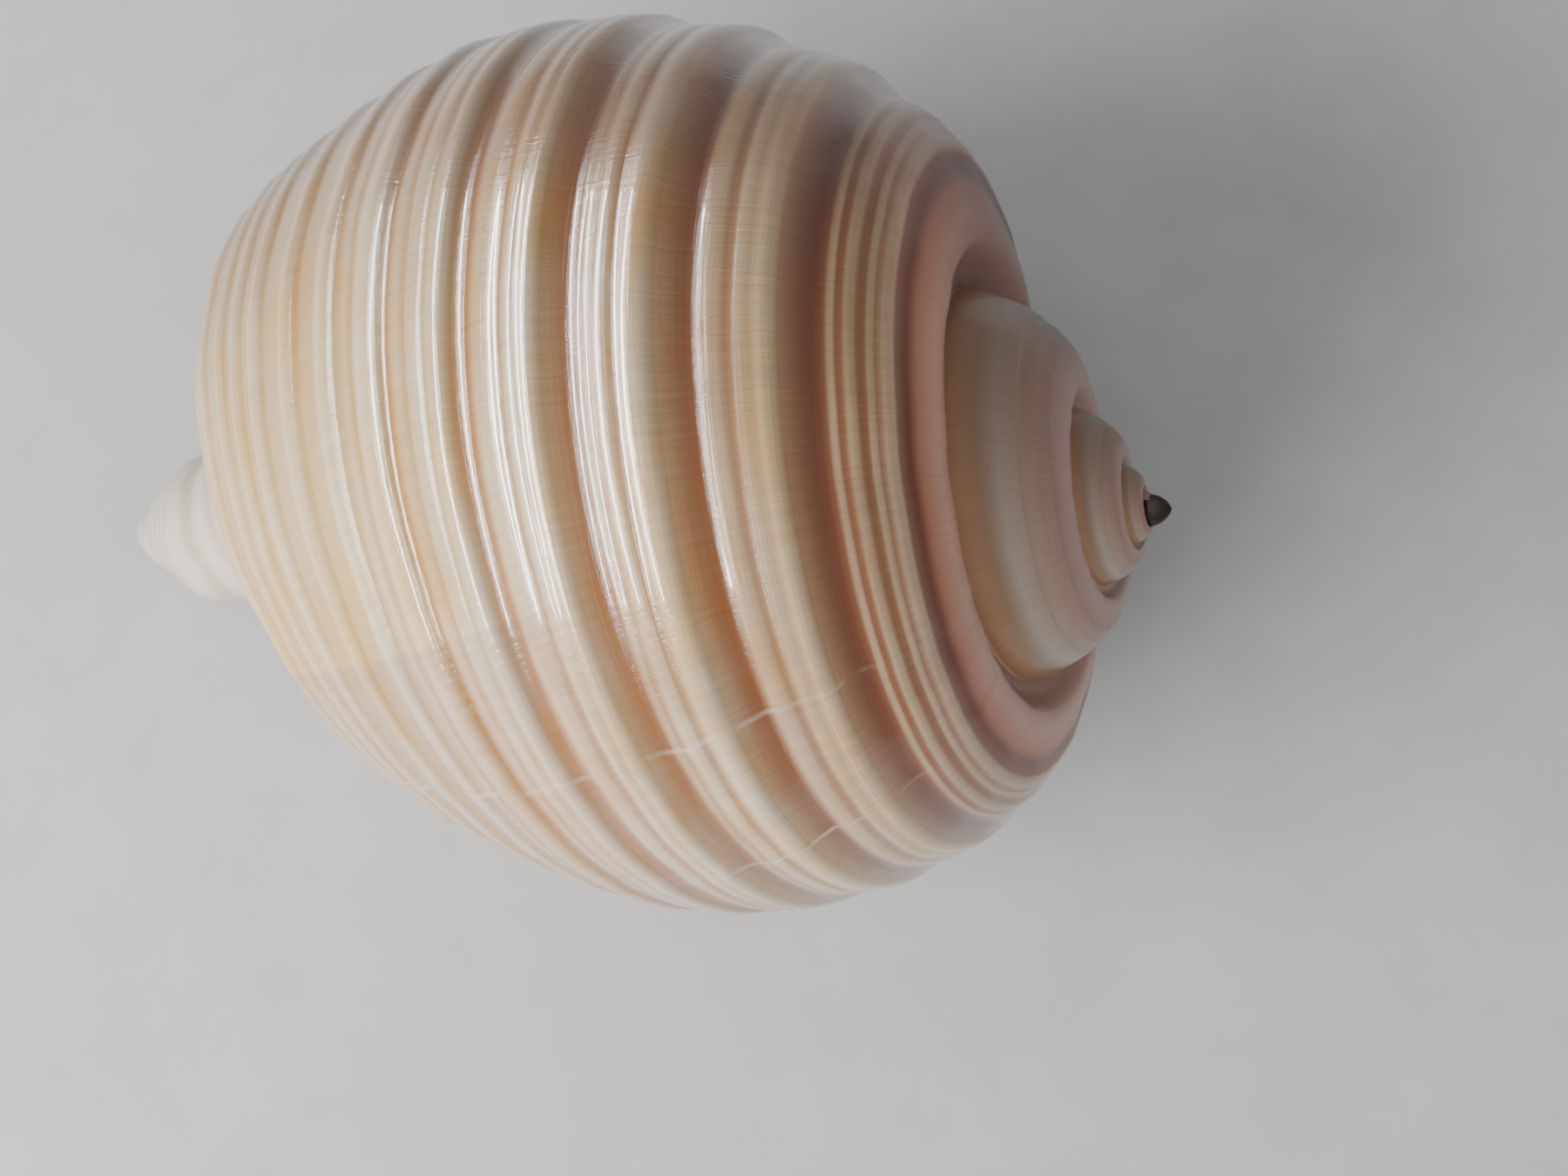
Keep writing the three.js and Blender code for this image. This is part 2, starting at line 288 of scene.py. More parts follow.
def rib_height(arc):
    """The ribs with their edges rounded off."""
    asides = np.linspace(-EDGE_ROUNDING, EDGE_ROUNDING, EDGE_SAMPLES)
    return np.mean([sharp_rib_height(arc + aside) for aside in asides], axis=0)


def rib_tone(arc):
    """0 in the brown groove at a rib's foot, 1 on its pale crest, and between them on its back."""
    tone = np.zeros_like(arc)
    for foot, crest_from, crest_to, far_foot, _ in RIBS:
        slope = np.clip((arc - foot) / (crest_from - foot), 0.0, 1.0) ** SLOPE_FADE
        back = lerp(1.0, BACK_TONE, ease((arc - crest_to) / BACK_FADE))
        edge = ease((far_foot - arc) / GROOVE_WIDTH)
        tone = np.maximum(tone, slope * back * edge)
    return tone


def strand_crowns(arc):
    """Each strand's width, and its rounded form: 1 along its middle, 0 at its edges."""
    for start, end in STRANDS:
        off_middle = (2.0 * arc - start - end) / (end - start)
        yield end - start, np.clip(1.0 - off_middle ** 2, 0.0, 1.0)


def strand_height(arc):
    return STRAND_CROWN * np.max([width * crown for width, crown in strand_crowns(arc)], axis=0)


def strand_part(arc):
    return np.max([crown for _, crown in strand_crowns(arc)], axis=0)


def outline_at(arc, outward):
    """Distance from the axis and below the apex, moved outward from the last whorl's outline."""
    held = np.clip(arc, 0.0, OUTLINE_LENGTH)
    out = np.interp(held, CURVE_ARC, CURVE[:, 0])
    down = np.interp(held, CURVE_ARC, CURVE[:, 1])
    step_out = np.interp(held, CURVE_ARC, CURVE_TANGENT[:, 0])
    step_down = np.interp(held, CURVE_ARC, CURVE_TANGENT[:, 1])
    return out + outward * step_down, down - outward * step_out


def pillar_radius(down):
    part = np.clip((down - PILLAR_TOP[0]) / (PILLAR_FOOT[0] - PILLAR_TOP[0]), 0.0, 1.0)
    return lerp(PILLAR_TOP[1], PILLAR_FOOT[1], part)


def neck_at(part, turn, end):
    """The neck runs from the end of the outline to the pillar."""
    size = growth(turn)
    out, down = OUTLINE_POINTS[-1]
    start = down * size
    below = lerp(start, end, part)
    flare = (out * size - pillar_radius(start)) * (1.0 - part) ** NECK_POWER
    return pillar_radius(below) + flare, below


def place(out, down, turn):
    """From distance off the axis, distance below the apex and turn to points in space."""
    angle = np.radians(turn)
    tilt = math.radians(AXIS_TILT)
    up = out * np.cos(angle)
    near_axis = ease((LEAN_REACH[1] - out) / (LEAN_REACH[1] - LEAN_REACH[0]))
    lean = SPOUT_LEAN * near_axis * ease((down - LEAN_START) / (PILLAR_FOOT[0] - LEAN_START))
    return np.stack(
        [
            -math.sin(tilt) * up - math.cos(tilt) * down,
            out * np.sin(angle) + lean,
            math.cos(tilt) * up - math.sin(tilt) * down,
        ],
        axis=-1,
    )


def growth_relief(arc, turn):
    """Low swellings along the growth lines, and a ridge at each scar."""
    age = turn + GROWTH_LAG * arc
    height = sum(top * np.sin(np.radians(age * count + start)) for top, count, start in GROWTH_WAVES)
    crooked = sum(aside * np.sin(arc * rate + start) for aside, rate, start in SCAR_BENDS)
    for scar in SCAR_AGES:
        height = height + SCAR_HEIGHT * np.exp(-(((age - scar + crooked) / SCAR_WIDTH) ** 2))
    return height


def surface(arc, turn, relief=1.0):
    size = growth(turn)
    ribs = rib_height(arc) + relief * strand_height(arc)
    height = (ribs - RIB_FOOT) * full_ribs(arc, turn) + relief * growth_relief(arc, turn)
    out, down = outline_at(arc, height)
    return place(out * size, down * size, turn)


# Lines of the mesh along the outline, with one on the line where the next whorl is attached
rows_before = round(ATTACH_ARC / ROW_STEP)
rows_after = round((OUTLINE_LENGTH - ATTACH_ARC) / ROW_STEP)
row_arcs = np.concatenate(
    [
        np.linspace(0.0, ATTACH_ARC, rows_before + 1),
        np.linspace(ATTACH_ARC, OUTLINE_LENGTH, rows_after + 1)[1:],
    ]
)
attach_row = rows_before
row_count = len(row_arcs) + NECK_ROWS
last_row = row_count - 1
neck_parts = np.arange(1, NECK_ROWS + 1) / NECK_ROWS
row_places = np.concatenate([row_arcs, OUTLINE_LENGTH + NECK_LENGTH * neck_parts])

# Columns of the mesh along the growth, closer together where the scars are
narrow_count = round((NARROW_TURNS[1] - NARROW_TURNS[0]) / NARROW_COLUMN)
wide_count = round((360 - NARROW_TURNS[1] + NARROW_TURNS[0]) / WIDE_COLUMN)
narrow_turns = np.linspace(*NARROW_TURNS, narrow_count, endpoint=False)
wide_turns = np.linspace(NARROW_TURNS[1], NARROW_TURNS[0] + 360, wide_count, endpoint=False)
one_turn = np.concatenate([narrow_turns, wide_turns])
columns_per_turn = len(one_turn)
end_column = int(np.argmin(np.abs(one_turn - LIP_END)))
one_turn[end_column] = LIP_END
many_turns = np.concatenate([one_turn + 360 * k for k in range(-EARLIER_TURNS, 1)])
end_place = EARLIER_TURNS * columns_per_turn + end_column
column_count = round(WHORL_COUNT * columns_per_turn)
column_turns = many_turns[end_place - column_count:end_place + 1]
last_whorl = column_count - columns_per_turn


def lip_shifts():
    """How far before the lip's end each line of the mesh stops, so that the lip lies in one plane."""
    below = np.arange(*REST_TURNS, REST_TURN_STEP)
    rest_height = surface(row_arcs[:, None], below[None, :], 0.0)[..., 2].min()
    turns = np.arange(*LIP_TURNS, LIP_TURN_STEP)
    arcs = np.minimum(row_places, OUTLINE_LENGTH)
    heights = surface(arcs[:, None], turns[None, :], 0.0)[..., 2]
    below_rest = heights <= rest_height
    touching = np.where(below_rest.any(axis=1), below_rest.argmax(axis=1), -1)
    past_end = turns[touching] - LIP_END
    at_rest = -LIP_ROUND * np.log1p(np.exp(-past_end / LIP_ROUND))
    window = np.ones(2 * LIP_SMOOTHING + 1) / (2 * LIP_SMOOTHING + 1)
    smooth = np.convolve(np.pad(at_rest, LIP_SMOOTHING, mode="edge"), window, mode="valid")
    deepest = OUTLINE_LENGTH + NECK_LENGTH * NOTCH_PLACE
    into_notch = ease((row_places - NOTCH_START) / (deepest - NOTCH_START))
    out_of_notch = ease((row_places - deepest) / (OUTLINE_LENGTH + NECK_LENGTH - deepest))
    return lerp(lerp(smooth, -NOTCH_TURN, into_notch), 0.0, out_of_notch)


LIP_SHIFT = lip_shifts()


def lip_slant(behind):
    return 1.0 - ease(behind / LIP_BLEND)


def together(count, *values):
    """One row of values for each of a line's vertices."""
    return np.stack([np.broadcast_to(np.asarray(value, float), count) for value in values], axis=1)


class ShellMesh:
    """Vertices, with what the material reads at each face corner, and faces."""

    def __init__(self):
        self.points = []
        self.growths = []
        self.marks = []
        self.zones = []
        self.joined = []
        self.faces = []

    def add(self, points, arc, turn, strand=0.0, tone=0.0, spout=0.0, inside=0.0, bulb=0.0):
        """Adds a line of vertices and gives their numbers."""
        count = len(points)
        first = len(self.points)
        self.points.extend(points)
        self.growths.extend(together(count, arc, turn, 0.0))
        self.marks.extend(together(count, strand, tone, 0.0))
        self.zones.extend(together(count, spout, inside, bulb))
        self.joined.extend(range(first, first + count))
        return np.arange(first, first + count)

    def join(self, numbers, targets):
        """Makes vertices share the places of others."""
        for number, target in zip(numbers, targets):
            self.joined[number] = self.joined[target]

    def strip(self, first, second):
        """Four-sided faces between two lines of as many vertices."""
        for k in range(len(first) - 1):
            self.face(first[k], second[k], second[k + 1], first[k + 1])

    def zip(self, first, second, first_places, second_places):
        """Triangles between two lines whose counts differ, by their places along the way."""
        i = 0
        j = 0
        while i < len(first) - 1 or j < len(second) - 1:
            next_first = first_places[i + 1] + first_places[i] if i < len(first) - 1 else math.inf
            next_second = second_places[j + 1] + second_places[j] if j < len(second) - 1 else math.inf
            if next_second <= next_first:
                self.face(first[i], second[j], second[j + 1])
                j += 1
            else:
                self.face(first[i], second[j], first[i + 1])
                i += 1

    def face(self, *corners):
        """Adds a face, leaving out corners that share a vertex with the one before."""
        kept = []
        for corner in corners:
            if all(self.joined[corner] != self.joined[other] for other in kept):
                kept.append(corner)
        if len(kept) > 2:
            self.faces.append(kept)

    def build(self, name, shift):
        """The Blender object."""
        used = sorted({self.joined[corner] for face in self.faces for corner in face})
        number = {old: new for new, old in enumerate(used)}
        points = np.array(self.points)[used] + shift
        corners = [[number[self.joined[corner]] for corner in face] for face in self.faces]
        mesh = bpy.data.meshes.new(name)
        mesh.from_pydata(points.tolist(), [], corners)
        flat = np.array([corner for face in self.faces for corner in face])
        layers = (("growth", self.growths), ("marks", self.marks), ("zone", self.zones))
        for label, values in layers:
            layer = mesh.attributes.new(label, "FLOAT_VECTOR", "CORNER")
            layer.data.foreach_set("vector", np.array(values)[flat].astype(np.float32).ravel())
        mesh.polygons.foreach_set("use_smooth", np.ones(len(self.faces), bool))
        mesh.update()
        made = bpy.data.objects.new(name, mesh)
        bpy.context.scene.collection.objects.link(made)
        return made


def add_outside(shell):
    """Columns of vertices from the apex to the lip, and the faces between them."""
    grid = []
    for column in range(column_count + 1):
        whole = column >= last_whorl
        behind = LIP_END - column_turns[column]
        slant = LIP_SHIFT * lip_slant(behind) if column > last_whorl else np.zeros(row_count)
        turns = column_turns[column] + slant
        rows = len(row_arcs) if whole else attach_row + 1
        arcs = row_arcs[:rows]
        points = surface(arcs, turns[:rows])
        grown = full_ribs(arcs, turns[:rows])
        tone = lerp(BACK_TONE, rib_tone(arcs), grown)
        line = shell.add(points, arcs, turns[:rows], strand_part(arcs) * grown, tone)
        if whole:
            neck_turns = turns[len(row_arcs):]
            neck = place(*neck_at(neck_parts, neck_turns, PILLAR_FOOT[0]), neck_turns)
            neck_arcs = row_places[len(row_arcs):]
            more = shell.add(neck, neck_arcs, neck_turns, spout=ease(neck_parts * NECK_WHITENING))
            line = np.concatenate([line, more])
        grid.append(line)
    for column in range(last_whorl + 1):
        shell.join(grid[column][attach_row:attach_row + 1], grid[column + columns_per_turn][:1])
    shell.join(grid[column_count][last_row:], grid[last_whorl][last_row:])
    for column in range(column_count):
        rows = attach_row + 1 if column < last_whorl else row_count
        shell.strip(grid[column][:rows], grid[column + 1][:rows])
    return grid


def add_bulb(shell, grid):
    """The apex is closed by a pointed bulb over the start of the first whorl."""
    first_turns = column_turns[columns_per_turn::-1]
    edge_arcs = np.concatenate([np.zeros(columns_per_turn + 1), row_arcs[1:attach_row]])
    edge_turns = np.concatenate([first_turns, np.full(attach_row - 1, column_turns[0])])
    edge = [grid[column][0] for column in range(columns_per_turn, -1, -1)]
    edge += list(grid[0][1:attach_row])
    edge_out, edge_down = outline_at(edge_arcs, 0.0)
    edge_out = edge_out * growth(edge_turns)
    edge_down = edge_down * growth(edge_turns)
    line = np.array(edge)
    for ring in range(BULB_RINGS):
        angle = math.radians(lerp(*BULB_ANGLES, ring / (BULB_RINGS - 1)))
        blend = min(1.0, (ring + 1) / BULB_JOIN_RINGS)
        out = lerp(edge_out, BULB_RADIUS * math.sin(angle) ** BULB_POINT, blend)
        down = lerp(edge_down, BULB_FOOT - (BULB_FOOT + BULB_TOP) * math.cos(angle), blend)
        next_line = shell.add(place(out, down, edge_turns), 0.0, edge_turns, bulb=1.0)
        shell.strip(np.append(next_line, next_line[0]), np.append(line, line[0]))
        line = next_line
    top = shell.add(place(np.zeros(1), np.full(1, -BULB_TOP), np.zeros(1)), 0.0, column_turns[0], bulb=1.0)
    for k in range(len(line)):
        shell.face(top[0], line[k], line[(k + 1) % len(line)])


def add_tip(shell, grid):
    """The spout's blunt tip."""
    ring = np.array([grid[column][last_row] for column in range(last_whorl, column_count + 1)])
    turns = column_turns[last_whorl:column_count]
    for step in range(1, TIP_ROWS):
        part = math.sin(step / TIP_ROWS * math.pi / 2)
        lobe_edge = LOBE_PLACE + LOBE_SWAY * np.sin(np.radians(turns + LOBE_TURN))
        groove = LOBE_GROOVE * np.exp(-(((part - lobe_edge) / LOBE_WIDTH) ** 2))
        radius = PILLAR_FOOT[1] * (1.0 - part) ** SPOUT_TAPER - groove
        down = np.full(columns_per_turn, lerp(PILLAR_FOOT[0], SPOUT_TIP, part))
        arcs = OUTLINE_LENGTH + NECK_LENGTH + part * (SPOUT_TIP - PILLAR_FOOT[0])
        line = shell.add(place(radius, down, turns), arcs, turns, spout=1.0)
        line = np.append(line, line[0])
        shell.strip(line, ring)
        ring = line
    end_point = place(np.zeros(1), np.full(1, SPOUT_TIP), np.zeros(1))
    end_arc = OUTLINE_LENGTH + NECK_LENGTH + SPOUT_TIP - PILLAR_FOOT[0]
    end = shell.add(end_point, end_arc, 0.0, spout=1.0)
    for k in range(columns_per_turn):
        shell.face(ring[k], ring[k + 1], end[0])


def add_lip(shell, grid):
    """The rounded edge of the lip, from its outside to its inside."""
    line = grid[column_count]
    turns = LIP_END + LIP_SHIFT
    size = growth(turns)
    rise = np.minimum(1.0, np.arange(row_count) / LIP_EDGE_ROWS) * LIP_THICKNESS
    arcs = row_arcs
    rows = len(arcs)
    for step in range(1, LIP_STEPS + 1):
        angle = math.pi * step / LIP_STEPS
        inward = rise * (1.0 - math.cos(angle)) / 2.0
        ahead = np.degrees(rise / 2.0 * math.sin(angle) / LIP_RADIUS)
        height = rib_height(arcs) - RIB_FOOT + strand_height(arcs) * (1 - step / LIP_STEPS)
        out, down = outline_at(arcs, height - inward[:rows])
        points = place(out * size[:rows], down * size[:rows], (turns + ahead)[:rows])
        neck_out, neck_down = neck_at(neck_parts, turns[rows:], PILLAR_FOOT[0])
        neck = place(neck_out, neck_down - inward[rows:] * (1.0 - neck_parts), (turns + ahead)[rows:])
        inside = step / LIP_STEPS
        next_line = np.concatenate(
            [
                shell.add(points, arcs, turns[:rows], LIP_PALENESS, inside=inside),
                shell.add(neck, OUTLINE_LENGTH, turns[rows:], spout=1.0, inside=inside),
            ]
        )
        shell.join(next_line[:1], line[:1])
        shell.join(next_line[-1:], line[-1:])
        shell.strip(line, next_line)
        line = next_line
    return line


def add_hollow(shell, grid, lip_line):
    """Lines of vertices from the lip inward, along the outer wall and along the earlier whorl."""
    outer = lip_line
    outer_places = row_places
    inner = grid[last_whorl][attach_row:]
    inner_places = row_places[attach_row:]
    wall_arcs = np.arange(SUTURE_GAP, OUTLINE_LENGTH - NECK_GAP, HOLLOW_ROW_STEP)
    wall_arcs = np.append(wall_arcs, OUTLINE_LENGTH)
    inner_arcs = np.arange(INNER_START, OUTLINE_LENGTH - SUTURE_GAP, HOLLOW_ROW_STEP)
    neck_steps = np.arange(HOLLOW_NECK_ROWS) / HOLLOW_NECK_ROWS
    end_turn = LIP_END - 360 * HOLLOW_TURNS
    first = int(np.searchsorted(column_turns, end_turn))
    for column in range(column_count - 1, first - 1, -1):
        turn = column_turns[column]
        behind = LIP_END - turn
        size = growth(turn)
        corner_inside = (OUTLINE_POINTS[-1][1] - CORNER_RISE) * size
        corner_down = np.full(1, lerp(PILLAR_FOOT[0], corner_inside, ease(behind / CORNER_BLEND)))
        corner = place(pillar_radius(corner_down), corner_down, np.full(1, turn))
        suture_out, suture_down = outline_at(np.full(1, ATTACH_ARC + SUTURE_GAP), 0.0)
        earlier = growth(turn - 360)
        suture = place(suture_out * earlier, suture_down * earlier, np.full(1, turn))
        thickness = lerp(LIP_THICKNESS, WALL_THICKNESS, ease(behind / THICKNESS_BLEND))

        wall_turns = turn + np.interp(wall_arcs, row_places, LIP_SHIFT) * lip_slant(behind)
        fluting = FLUTING * (rib_height(wall_arcs) - RIB_FOOT)
        out, down = outline_at(wall_arcs, fluting - thickness)
        wall = place(out * growth(wall_turns), down * growth(wall_turns), wall_turns)
        next_outer = shell.add(np.concatenate([suture, wall, corner]), 0.0, turn, inside=1.0)
        next_outer_places = np.concatenate([[0.0], wall_arcs, [OUTLINE_LENGTH + NECK_LENGTH]])

        out, down = outline_at(inner_arcs, 0.0)
        earlier_wall = place(out * earlier, down * earlier, np.full(len(inner_arcs), turn))
        neck = place(*neck_at(neck_steps, turn - 360, corner_down), np.full(HOLLOW_NECK_ROWS, turn))
        middle = shell.add(np.concatenate([earlier_wall, neck]), 0.0, turn, inside=1.0)
        next_inner = np.concatenate([next_outer[:1], middle, next_outer[-1:]])
        neck_places = OUTLINE_LENGTH + NECK_LENGTH * np.append(neck_steps, 1.0)
        next_inner_places = np.concatenate([[ATTACH_ARC], inner_arcs, neck_places])

        shell.zip(outer, next_outer, outer_places, next_outer_places)
        shell.zip(next_inner, inner, next_inner_places, inner_places)
        outer = next_outer
        outer_places = next_outer_places
        inner = next_inner
        inner_places = next_inner_places
    return outer, inner


def close_hollow(shell, outer, inner):
    """The inner end of the hollow."""
    centre = np.mean([shell.points[k] for k in outer], axis=0)
    middle = shell.add([centre], 0.0, 0.0, inside=1.0)[0]
    for k in range(len(outer) - 1):
        shell.face(middle, outer[k + 1], outer[k])
    for k in range(len(inner) - 1):
        shell.face(middle, inner[k], inner[k + 1])


def make_shell():
    shell = ShellMesh()
    grid = add_outside(shell)
    add_bulb(shell, grid)
    add_tip(shell, grid)
    lip_line = add_lip(shell, grid)
    outer, inner = add_hollow(shell, grid, lip_line)
    close_hollow(shell, outer, inner)
    points = np.array(shell.points)
    low = points.min(axis=0)
    high = points.max(axis=0)
    middle = (np.array(cad_low) + np.array(cad_high)) / 2
    shift = middle - (low + high) / 2
    shift[2] = cad_low[2] - low[2]
    return shell.build("tun_shell", shift), Vector(shift)


# Material: colours of 0 to 255 parts, along the outline, by age, or by degrees from the lip inward
SURFACE_SHADE = 0.62
FULL_SHADE = 1.0
COLOUR_STRENGTH = 1.08
SCREEN_OFFSET = 0.055
SCREEN_GAMMA = 2.4
GROOVE_COLOURS = [
    (0.0000, (142, 104, 88)),
    (0.0040, (196, 162, 154)),
    (0.0120, (212, 176, 168)),
    (0.0160, (196, 144, 128)),
    (0.0182, (130, 76, 62)),
    (0.0240, (128, 84, 64)),
    (0.0330, (122, 74, 52)),
    (0.0500, (132, 90, 64)),
    (0.0660, (150, 108, 78)),
    (0.0815, (170, 132, 98)),
    (0.0940, (184, 150, 108)),
    (0.1100, (198, 175, 130)),
    (0.1680, (216, 202, 174)),
]
CREST_COLOURS = [
    (0.0000, (158, 120, 104)),
    (0.0120, (212, 176, 168)),
    (0.0180, (150, 98, 82)),
    (0.0230, (164, 124, 100)),
    (0.0300, (156, 114, 88)),
    (0.0400, (210, 184, 156)),
    (0.0560, (214, 194, 168)),
    (0.0750, (214, 196, 168)),
    (0.1050, (212, 196, 158)),
    (0.1300, (208, 189, 148)),
    (0.1680, (220, 206, 180)),
]
STRAND_COLOURS = [
    (0.0200, (216, 200, 184)),
    (0.0300, (208, 186, 162)),
    (0.0400, (218, 204, 182)),
    (0.0560, (226, 217, 204)),
    (0.0750, (230, 222, 210)),
    (0.1050, (232, 225, 212)),
    (0.1400, (226, 216, 196)),
    (0.1680, (228, 220, 204)),
]
# Tints by age: warm along the growth, and darker from an age of 20 degrees on, as painted shade of the far
# side near the lip
AGE_TINTS_AND_SHADE = [
    (-240, (244, 236, 228)),
    (-60, (248, 238, 224)),
    (20, (252, 238, 214)),
    (45, (236, 214, 196)),
    (75, (210, 190, 180)),
    (130, (200, 186, 180)),
]
SPIRE_COLOURS = [
    (0.000, (180, 148, 140)),
    (0.012, (190, 158, 150)),
    (0.022, (164, 134, 120)),
    (0.034, (170, 146, 130)),
    (0.042, (184, 170, 156)),
    (0.049, (172, 142, 114)),
    (0.055, (190, 148, 112)),
    (0.061, (186, 140, 106)),
]
INSIDE_COLOURS = [
    (0, (236, 226, 208)),
    (40, (218, 190, 156)),
    (160, (176, 132, 98)),
    (460, (150, 108, 80)),
]
# Browner far side of the spire, partly its own brown and partly painted shade
FAR_SIDE_BROWN_AND_SHADE = (146, 106, 76)
FIRST_WHORL_COLOUR = (168, 126, 104)
BULB_COLOUR = (44, 32, 22)
SCAR_COLOUR = (226, 216, 202)
SPOUT_COLOUR = (228, 220, 206)
RING_COLOUR = (180, 142, 104)
OCHRE_TINT = (1.0, 0.84, 0.56, 1.0)
OLDER_TINT = (0.84, 0.80, 0.92, 1.0)

# Noise over age and outline: change per degree, change per metre, layer, detail, roughness
GROWTH_LINES = (1.6, 60.0, 0.0, 5.0, 0.65)
SPIRAL_THREADS = (0.035, 1500.0, 0.0, 3.0, 0.6)
CLOUDS = (0.06, 60.0, 3.0, 4.0, 0.6)
OCHRE_PATCHES = (0.045, 110.0, 5.0, 3.0, 0.6)

# Noise over outline and turn: change per metre, change per degree, layer, detail, roughness
SCAR_WAVER = (90.0, 0.0, 0.0, 2.0, 0.55)
RING_WAVER = (300.0, 0.03, 7.0, 2.0, 0.55)

# Where a look sets in, from and to, and how much of it there is at both ends
NOISE_SPREAD = (0.3, 0.7)
LINE_SHADES = (0.89, 1.07)
STRAND_RISE = (0.1, 0.8)
STRAND_TONES = (0.0, 0.6)
STRAND_SHARES = (0.6, 1.0)
OCHRE_NOISE = (0.42, 0.64)
OCHRE_ARCS = (0.032, 0.050)
COLOUR_STEP_WIDTH = 0.6
COLOUR_STEP_ARCS = (0.066, 0.096)
SPIRE_TURNS = (-290, -200)
FAR_SIDE = (-0.6, 0.8)
FAR_SIDE_SHARES = (0.0, 0.6)
FAR_SIDE_ARCS = (0.018, 0.040)
FIRST_WHORL_TURNS = (-1300, -1000)
FIRST_WHORL_SHARES = (0.7, 0.0)
SCAR_SWAY = (-2.0, 2.0)
SCAR_LINE = (0.1, 0.5)
SCAR_ARCS = (0.030, 0.040)
SCAR_NOISE = (0.4, 0.6)
SCAR_SHARES = (0.0, 0.8)
SCAR_PALENESS = 0.6
RING_SPACING = 0.0019
RING_RATE = 2.0 * math.pi / RING_SPACING
RING_UNEVENNESS = 5.0
RING_CRESTS = (0.2, 1.0)
RING_SHARES = (0.1, 0.5)
INSIDE_LINE_SHARE = 0.6

# Gloss and low relief
SHELL_IOR = 1.6
LINE_ROUGHNESS = (0.12, 0.20)
CLOUD_ROUGHNESS = (-0.02, 0.03)
BULB_ROUGHNESS = 0.4
GLOSSY_ARCS = (0.016, 0.036)
SPIRE_GLOSS = 0.4
SPECULAR_LEVELS = (0.2, 0.5)
COAT_WEIGHTS = (0.05, 0.7)
COAT_ROUGHNESS = 0.07
LINE_RELIEF = 0.7
THREAD_RELIEF = 0.4
RING_RELIEF = 0.35
SCAR_RELIEF = 0.4
RELIEF_STRENGTH = 0.4
RELIEF_HEIGHT = 0.0004


def linear(red, green, blue, shade=SURFACE_SHADE):
    """A colour of 0 to 255 parts, written as it looks in bright light, as the renderer takes it."""
    grey = (red + green + blue) / 3.0
    parts = [lerp(grey, value, COLOUR_STRENGTH) / 255.0 for value in (red, green, blue)]
    light = [((part + SCREEN_OFFSET) / (1.0 + SCREEN_OFFSET)) ** SCREEN_GAMMA for part in parts]
    return tuple(shade * part for part in light) + (1.0,)


class Nodes:
    """Makes a material's nodes and links them."""

    def __init__(self, material):
        material.use_nodes = True
        self.tree = material.node_tree
        self.tree.nodes.clear()

    def feed(self, socket, value):
        """Links a value to a socket, or sets it there."""
        if isinstance(value, bpy.types.NodeSocket):
            self.tree.links.new(value, socket)
        else:
            socket.default_value = value

    def node(self, kind, inputs=None, **settings):
        made = self.tree.nodes.new(kind)
        for name, value in settings.items():
            setattr(made, name, value)
        for key, value in (inputs or {}).items():
            self.feed(made.inputs[key], value)
        return made

    def read(self, name):
        """The three values of one of the mesh's layers."""
        layer = self.node("ShaderNodeAttribute", attribute_name=name).outputs["Vector"]
        return tuple(self.node("ShaderNodeSeparateXYZ", {0: layer}).outputs)

    def math(self, operation, first, second=0.0, clamp=False):
        made = self.node("ShaderNodeMath", {0: first, 1: second}, operation=operation, use_clamp=clamp)
        return made.outputs[0]

    def product(self, first, *others):
        result = first
        for value in others:
            result = self.math("MULTIPLY", result, value)
        return result

    def total(self, first, *others):
        result = first
        for value in others:
            result = self.math("ADD", result, value)
        return result

    def map(self, value, low, high, to_low=0.0, to_high=1.0):
        made = self.node(
            "ShaderNodeMapRange",
            {"Value": value, "From Min": low, "From Max": high, "To Min": to_low, "To Max": to_high},
        )
        return made.outputs["Result"]

    def ramp(self, value, stops, shade=SURFACE_SHADE):
        """Colours at given values, blended between them."""
        low = stops[0][0]
        high = stops[-1][0]
        made = self.node("ShaderNodeValToRGB", {"Fac": self.map(value, low, high)})
        ramp = made.color_ramp
        while len(ramp.elements) < len(stops):
            ramp.elements.new(0.5)
        for element, (at, colour) in zip(ramp.elements, stops):
            element.position = (at - low) / (high - low)
            element.color = linear(*colour, shade)
        return made.outputs["Color"]

    def mix(self, factor, first, second, blend="MIX"):
        made = self.node("ShaderNodeMix", data_type="RGBA", blend_type=blend)
        for socket, value in zip((made.inputs[0], made.inputs[6], made.inputs[7]), (factor, first, second)):
            self.feed(socket, value)
        return made.outputs[2]

    def vector(self, x, y, z):
        return self.node("ShaderNodeCombineXYZ", {0: x, 1: y, 2: z}).outputs[0]

    def noise(self, vector, scale, detail, rough):
        made = self.node(
            "ShaderNodeTexNoise",
            {"Vector": vector, "Scale": scale, "Detail": detail, "Roughness": rough},
        )
        return made.outputs["Fac"]

    def pattern(self, first, second, form):
        """Noise over two values, drawn out by how fast it changes along each."""
        first_rate, second_rate, layer, detail, rough = form
        spot = self.vector(self.product(first, first_rate), self.product(second, second_rate), layer)
        return self.noise(spot, 1.0, detail, rough)

    def finish(self, shader):
        self.node("ShaderNodeOutputMaterial", {"Surface": shader.outputs[0]})


